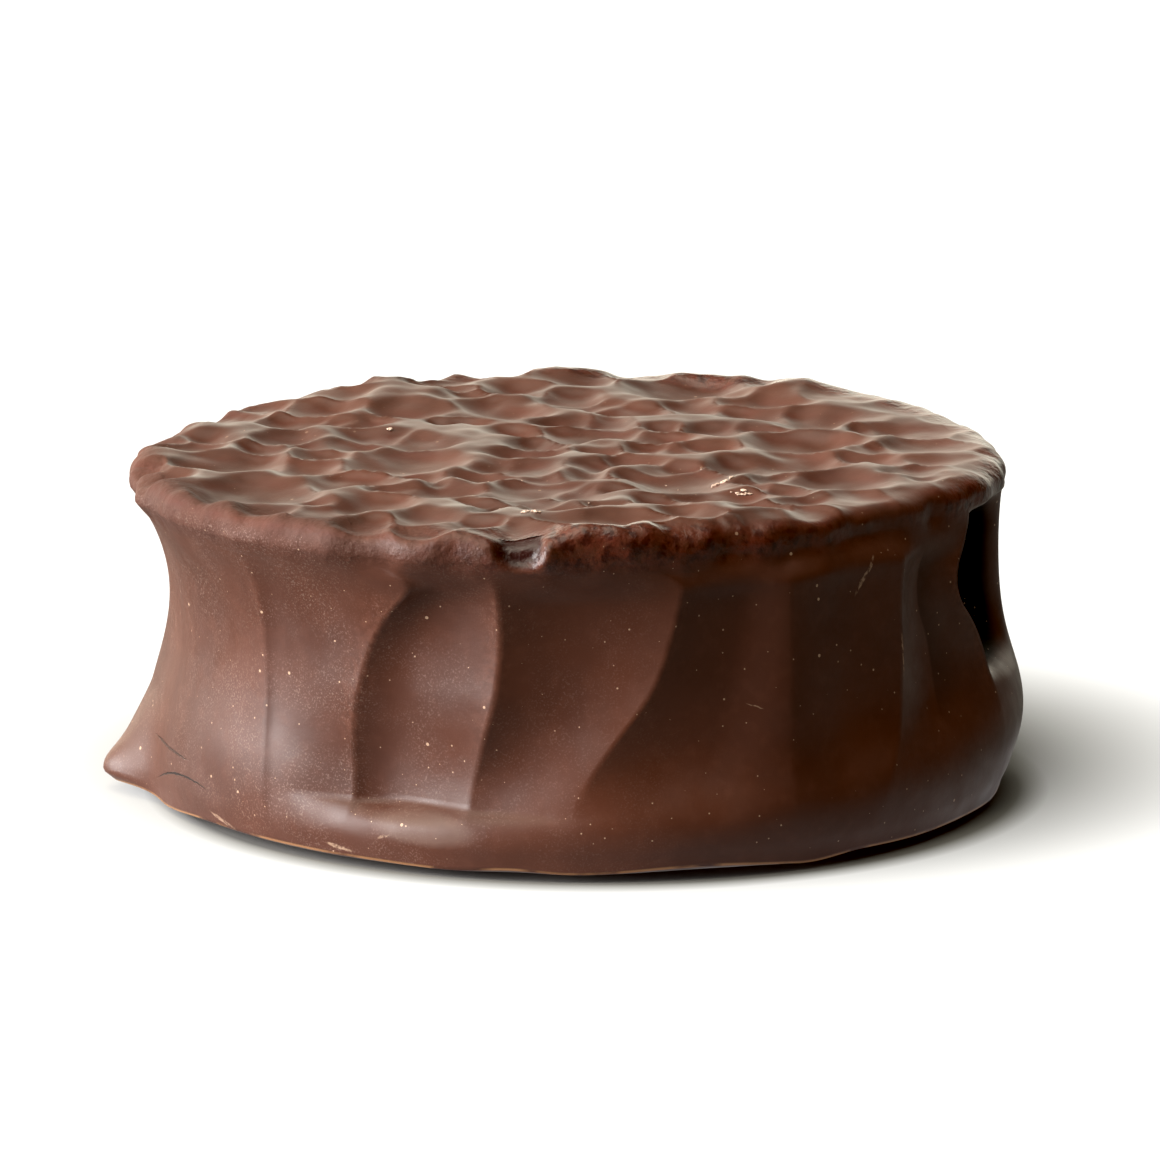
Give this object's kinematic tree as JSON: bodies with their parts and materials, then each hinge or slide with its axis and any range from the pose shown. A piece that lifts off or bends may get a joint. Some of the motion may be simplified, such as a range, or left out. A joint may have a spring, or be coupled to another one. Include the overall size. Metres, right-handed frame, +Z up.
{
  "type": "alfajor cookie",
  "caption": "Round alfajor cookie under one skin of set dark chocolate, with a rippled top, a draped folded side and a flat base.",
  "frame": {"origin": "centre of the flat base, where the cookie rests", "axes": "+Z up through the rippled top; -Y is the front, with the chipped rim; +X is the side with the pocket"},
  "size_m": [0.0656, 0.0651, 0.0252],
  "materials": {
    "dark_chocolate": "set dark chocolate with a satin sheen"
  },
  "bodies": {
    "root": {"alfajor": "dark_chocolate"}
  },
  "joints": []
}
